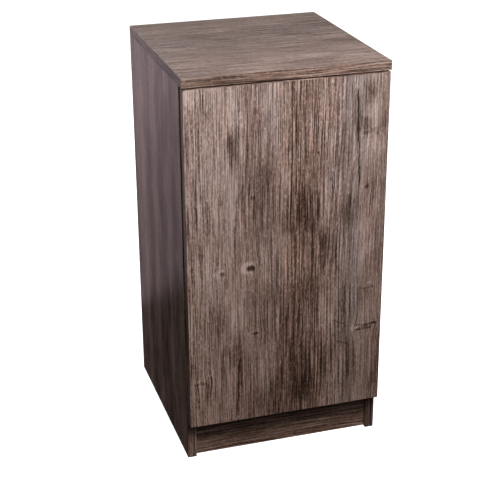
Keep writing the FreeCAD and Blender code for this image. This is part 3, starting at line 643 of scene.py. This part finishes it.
def metal(name, looks):
    # plating: fine noise moves the colour and the gloss a little
    material, tree, shader = newMaterial(name)
    wide = looks["wide"]
    brush = noiseAt(tree, wrapped(tree), wide, wide * brushing["stretch"], brushing["seed"],
                    brushing["detail"]).outputs[0]
    twoTones(tree, shader, brush, brushing["peaks"], looks["tones"])
    gloss = [looks["roughness"] + part for part in brushing["gloss"]]
    tree.links.new(spread(tree, brush, *brushing["peaks"], *gloss), shader.inputs["Roughness"])
    shader.inputs["Metallic"].default_value = 1.0
    return material


for name, looks in metals.items():
    dress(metal(name, looks), *looks["nodes"])

# plastics and the beech of the dowels
fineFinish = {
    "grain": (0.0004, 0.0004, 1.0),  # lump width and length in metres, seed
    "peaks": (0.3, 0.7),
    "roughness": 0.46,
    "bump": (0.15, 0.0001),
}
fineGrained = {
    "latchPlastic": {"tones": ((0.050, 0.050, 0.052), (0.075, 0.075, 0.078)), "nodes": ["latch_housing"]},
    "plungerPlastic": {"tones": ((0.30, 0.30, 0.30), (0.36, 0.36, 0.36)), "nodes": ["latch_plunger"]},
    "dowelBeech": {"tones": ((0.42, 0.27, 0.14), (0.56, 0.38, 0.22)), "nodes": ["dowels"]},
}


def fineSurface(name, looks):
    material, tree, shader = newMaterial(name)
    grain = noiseAt(tree, wrapped(tree), *fineFinish["grain"]).outputs[0]
    twoTones(tree, shader, grain, fineFinish["peaks"], looks["tones"])
    shader.inputs["Roughness"].default_value = fineFinish["roughness"]
    roughSurface(tree, shader, grain, *fineFinish["bump"])
    return material


for name, looks in fineGrained.items():
    dress(fineSurface(name, looks), *looks["nodes"])
print("hardware dressed")

# pan-head screws with a cross recess, in the places of the frame's plain ones, all in metres
screwShape = {
    "crown": (0.00025, 0.0005, 0.0007, 0.0008, 0.0011, 0.0015, 0.0018, 0.0020, 0.00215, 0.0024, 0.0027,
              0.0030, 0.0032, 0.0034, 0.0035),  # radii of the head's rings
    "height": 0.0022,
    "rim": 0.0006,          # upright part of the head's edge
    "shank": 0.0016,
    "tip": (0.0030, 0.0004),  # length and radius of the point
    "slotHalf": 0.00048,    # half the width of a slot
    "slotReach": 0.00210,
    "recess": 0.0014,
    "floorRise": 0.45,      # share of the recess lost from the middle to a slot's end
    "core": 0.00075,        # inside this radius the whole ring lies in the recess
    "lean": 0.06,           # angle the slot walls lean over, in radians
    "smoothAngle": 38.0,    # edges that bend by more degrees stay sharp
}
screwSets = {
    "back_panel_screws": {"piece": "backScrews", "body": "carcass", "into": (0, -1, 0), "up": (0, 0, 1),
                          "length": 0.016, "turns": (0.3, 1.2, 0.7, 0.1, 0.9),
                          "places": [(-0.110, 0.197, 0.089), (0.000, 0.197, 0.089), (0.110, 0.197, 0.089),
                                     (-0.070, 0.197, 0.742), (0.070, 0.197, 0.742)]},
    "hinge_cup_screws": {"piece": "cupScrews", "body": "door", "into": (0, -1, 0), "up": (0, 0, 1),
                         "length": 0.012, "turns": (0.2, 0.8, 1.1, 0.5),
                         "places": [(0.1665, -0.1898, 0.1535), (0.1665, -0.1898, 0.1985),
                                    (0.1665, -0.1898, 0.6515), (0.1665, -0.1898, 0.6965)]},
    "hinge_plate_screws": {"piece": "plateScrews", "body": "carcass", "into": (1, 0, 0), "up": (0, 0, 1),
                           "length": 0.015, "turns": (0.9, 0.4, 0.1, 1.3),
                           "places": [(0.180, -0.151, 0.160), (0.180, -0.151, 0.192),
                                      (0.180, -0.151, 0.658), (0.180, -0.151, 0.690)]},
    "latch_screws": {"piece": "latchScrews", "body": "carcass", "into": (0, 0, 1), "up": (0, 1, 0),
                     "length": 0.013, "turns": (0.6, 1.0),
                     "places": [(-0.160, -0.166, 0.769), (-0.136, -0.166, 0.769)]},
}


def screwRings(length):
    # rings from the crown to the tip: height over radius is the rim plus a quarter ellipse, then underside,
    # shank and point; the columns crowd to the slots' edges and sink there by the recess, less outwards
    shape = screwShape
    crown = np.array(shape["crown"])
    tipLength, tipRadius = shape["tip"]
    dome = shape["rim"] + (shape["height"] - shape["rim"]) * np.sqrt(1.0 - (crown / crown[-1]) ** 2)
    radii = np.concatenate([crown, [crown[-1], shape["shank"], shape["shank"], tipRadius]])[:, None]
    heights = np.concatenate([-dome, [0.0, 0.0, length - tipLength, length]])[:, None]
    onCrown = np.arange(len(radii))[:, None] < len(crown)
    edge = np.arcsin(np.minimum(shape["slotHalf"] / np.maximum(radii, shape["core"]), 1.0))
    lean = shape["lean"]
    still = np.zeros_like(edge)
    square = math.pi / 2
    columns = [still, edge, edge + lean, still + square / 2, square - edge - lean, square - edge]
    crowded = np.concatenate(columns, axis=1)
    even = np.arange(len(columns)) * square / len(columns)
    inCross = np.clip((crown[-1] - radii) / (crown[-1] - shape["slotReach"]), 0.0, 1.0) * onCrown
    quarter = inCross * crowded + (1.0 - inCross) * even
    angles = np.concatenate([quarter + turn * square for turn in range(4)], axis=1)
    slots = np.tile([True, True, False, False, False, True], 4) | (radii <= shape["core"])
    depth = shape["recess"] * (1.0 - shape["floorRise"] * radii / shape["slotReach"])
    sunk = np.where(onCrown & slots & (radii < shape["slotReach"]), depth, 0.0)
    return heights + sunk, radii, angles


def crossScrews(node, looks):
    heights, radii, angles = screwRings(looks["length"])
    into, up = np.array(looks["into"], float), np.array(looks["up"], float)
    aside = np.cross(into, up)
    turned = angles[None] + np.array(looks["turns"])[:, None, None]
    # a point: the place, then the height along the shank, then the radius turned by the angle
    points = (np.array(looks["places"])[:, None, None, :] + heights[None, :, :, None] * into
              + (radii * np.cos(turned))[..., None] * up + (radii * np.sin(turned))[..., None] * aside)
    count, rows, columns = points.shape[:3]
    poles = points[:, [0, -1]].mean(axis=2)
    vertices = np.concatenate([points.reshape(count, -1, 3), poles], axis=1)
    ring = np.arange(rows * columns).reshape(rows, columns)
    nextRing = np.roll(ring, -1, axis=1)
    quads = np.stack([ring[:-1], nextRing[:-1], nextRing[1:], ring[1:]], axis=-1).reshape(-1, 4)
    crownPole, tipPole = rows * columns + np.zeros((2, columns), int) + [[0], [1]]
    fans = np.concatenate([np.stack([crownPole, nextRing[0], ring[0]], axis=-1),
                           np.stack([tipPole, ring[-1], nextRing[-1]], axis=-1)])
    starts = np.arange(count)[:, None, None] * vertices.shape[1]
    faces = (quads + starts).reshape(-1, 4).tolist() + (fans + starts).reshape(-1, 3).tolist()
    mesh = bpy.data.meshes.new(looks["piece"])
    mesh.from_pydata(vertices.reshape(-1, 3).tolist(), [], faces)
    mesh.shade_smooth()
    mesh.set_sharp_from_angle(angle=math.radians(screwShape["smoothAngle"]))
    mesh.materials.append(bpy.data.materials["zincPlating"])
    piece = bpy.data.objects.new(looks["piece"], mesh)
    bpy.context.scene.collection.objects.link(piece)
    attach(piece, looks["body"])
    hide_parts(node)


for node, looks in screwSets.items():
    crossScrews(node, looks)
print("screws built")

# the stage: white floor and room for the camera, a dim room for the reflections
stage = {
    "floorReach": 60.0,
    "floorPaint": 0.86,
    "floorRoughness": 0.9,
    "floorGlow": 0.87,
    "ambient": (0.01, 0.38),      # what matt surfaces get from low down and from overhead
    "ambientRise": (0.15, 0.85),  # from where to where it grows, as the upward part of the direction
    "sheen": (0.02, 0.55),        # what gloss sees near the ground and overhead
    "sheenRise": (0.05, 0.60),
}
white = (1.0, 1.0, 1.0, 1.0)
black = (0.0, 0.0, 0.0, 1.0)


def pathMix(tree, test, plain, special):
    light = tree.nodes.new("ShaderNodeLightPath")
    mix = tree.nodes.new("ShaderNodeMixShader")
    tree.links.new(light.outputs[test], mix.inputs[0])
    tree.links.new(plain, mix.inputs[1])
    tree.links.new(special, mix.inputs[2])
    return mix.outputs[0]


def glow(tree, strength):
    node = tree.nodes.new("ShaderNodeBackground")
    node.inputs[0].default_value = white
    feed(tree, node.inputs[1], strength)
    return node.outputs[0]


world = bpy.data.worlds.new("studio")
bpy.context.scene.world = world
world.use_nodes = True
sky = world.node_tree
sky.nodes.clear()
output = sky.nodes.new("ShaderNodeOutputWorld")
skyward = sky.nodes.new("ShaderNodeSeparateXYZ")
sky.links.new(sky.nodes.new("ShaderNodeTexCoord").outputs["Generated"], skyward.inputs[0])
overhead = spread(sky, skyward.outputs[2], *stage["sheenRise"], *stage["sheen"])
around = spread(sky, skyward.outputs[2], *stage["ambientRise"], *stage["ambient"])
dim = pathMix(sky, "Is Glossy Ray", glow(sky, around), glow(sky, overhead))
sky.links.new(pathMix(sky, "Is Camera Ray", dim, glow(sky, 1.0)), output.inputs[0])


def sheet(name, corners, material):
    mesh = bpy.data.meshes.new(name)
    mesh.from_pydata(corners, [], [(0, 1, 2, 3)])
    mesh.materials.append(material)
    piece = bpy.data.objects.new(name, mesh)
    bpy.context.scene.collection.objects.link(piece)
    piece.visible_diffuse = False
    return piece


reach = stage["floorReach"]
floorPaint, floorTree, floorShader = newMaterial("floorPaint")
floorShader.inputs["Base Color"].default_value = (stage["floorPaint"],) * 3 + (1.0,)
floorShader.inputs["Roughness"].default_value = stage["floorRoughness"]
floorShader.inputs["Emission Color"].default_value = white
floorShader.inputs["Emission Strength"].default_value = stage["floorGlow"]
floorCorners = [(-reach, -reach, 0), (reach, -reach, 0), (reach, reach, 0), (-reach, reach, 0)]
floor = sheet("floor", floorCorners, floorPaint)
floor.visible_glossy = False

# a lit backdrop card behind the left side, seen only as a reflection, brighter upwards
card = {
    "right": (-0.215, 0.505),
    "left": (-1.000, 1.070),
    "top": 1.3,
    "glow": [(0.0, 0.31), (0.10, 0.285), (0.20, 0.33), (0.31, 0.44), (0.41, 0.60), (0.60, 0.75), (1.0, 0.90)],
    "colour": (1.0, 0.77, 0.85, 1.0),
}
cardPaint, cardTree, cardShader = newMaterial("cardPaint")
cardShader.inputs["Base Color"].default_value = black
cardShader.inputs["Specular IOR Level"].default_value = 0.0
cardShader.inputs["Emission Color"].default_value = card["colour"]
cardRise = scaled(cardTree, objectSpot(cardTree)["z"], 1 / card["top"])
feed(cardTree, cardShader.inputs["Emission Strength"], toneRamp(cardTree, cardRise, card["glow"]))
cardCorners = [(*card["left"], 0), (*card["right"], 0), (*card["right"], card["top"]),
               (*card["left"], card["top"])]
backCard = sheet("sideCard", cardCorners, cardPaint)
backCard.visible_camera = False
backCard.visible_shadow = False

# lamps: place, target, width and height in metres, watts
lamps = {
    "keySoftbox": ((0.10, -0.86, 1.26), (0.0, -0.20, 0.60), 0.5, 0.4, 12.9),
    "frontFill": ((0.3, -2.8, 2.35), (0.0, 0.0, 0.3), 2.0, 0.35, 7.6),
    "backFill": ((-0.7, 2.4, 1.7), (0.0, 0.2, 0.4), 0.8, 1.2, 44.0),
    "rightFill": ((2.4, -0.2, 1.5), (0.0, 0.0, 0.4), 1.4, 1.2, 26.0),
}
for name, (place, target, wide, tall, power) in lamps.items():
    light = bpy.data.lights.new(name, "AREA")
    light.shape = "RECTANGLE"
    light.size = wide
    light.size_y = tall
    light.energy = power
    lamp = bpy.data.objects.new(name, light)
    bpy.context.scene.collection.objects.link(lamp)
    facing = (Vector(target) - Vector(place)).to_track_quat("-Z", "Y").to_matrix().to_4x4()
    lamp.matrix_world = Matrix.Translation(place) @ facing
    lamp.visible_camera = False

# the camera stands at the photograph's own angle: place in metres, angles in degrees, sensor in millimetres
view = {
    "place": (-0.718, -2.274, 1.388),
    "yaw": 17.3,
    "pitch": 23.5,
    "roll": -0.23,
    "focalPixels": 1253.0,
    "framePixels": 500.0,
    "sensor": 36.0,
}
yaw, pitch, roll = (math.radians(view[name]) for name in ("yaw", "pitch", "roll"))
ahead = Vector((math.sin(yaw), math.cos(yaw), 0.0))
forward = math.cos(pitch) * ahead - math.sin(pitch) * Vector((0, 0, 1))
upward = math.sin(pitch) * ahead + math.cos(pitch) * Vector((0, 0, 1))
right = Vector((math.cos(yaw), -math.sin(yaw), 0.0))
rightRolled = math.cos(roll) * right + math.sin(roll) * upward
upRolled = -math.sin(roll) * right + math.cos(roll) * upward
camera = bpy.data.objects.new("camera", bpy.data.cameras.new("camera"))
bpy.context.scene.collection.objects.link(camera)
camera.data.sensor_width = view["sensor"]
camera.data.lens = view["focalPixels"] / view["framePixels"] * view["sensor"]
turn = Matrix((rightRolled, upRolled, -forward)).transposed().to_4x4()
camera.matrix_world = Matrix.Translation(view["place"]) @ turn
bpy.context.scene.camera = camera
bpy.context.scene.view_settings.view_transform = "Standard"
print("stage set")
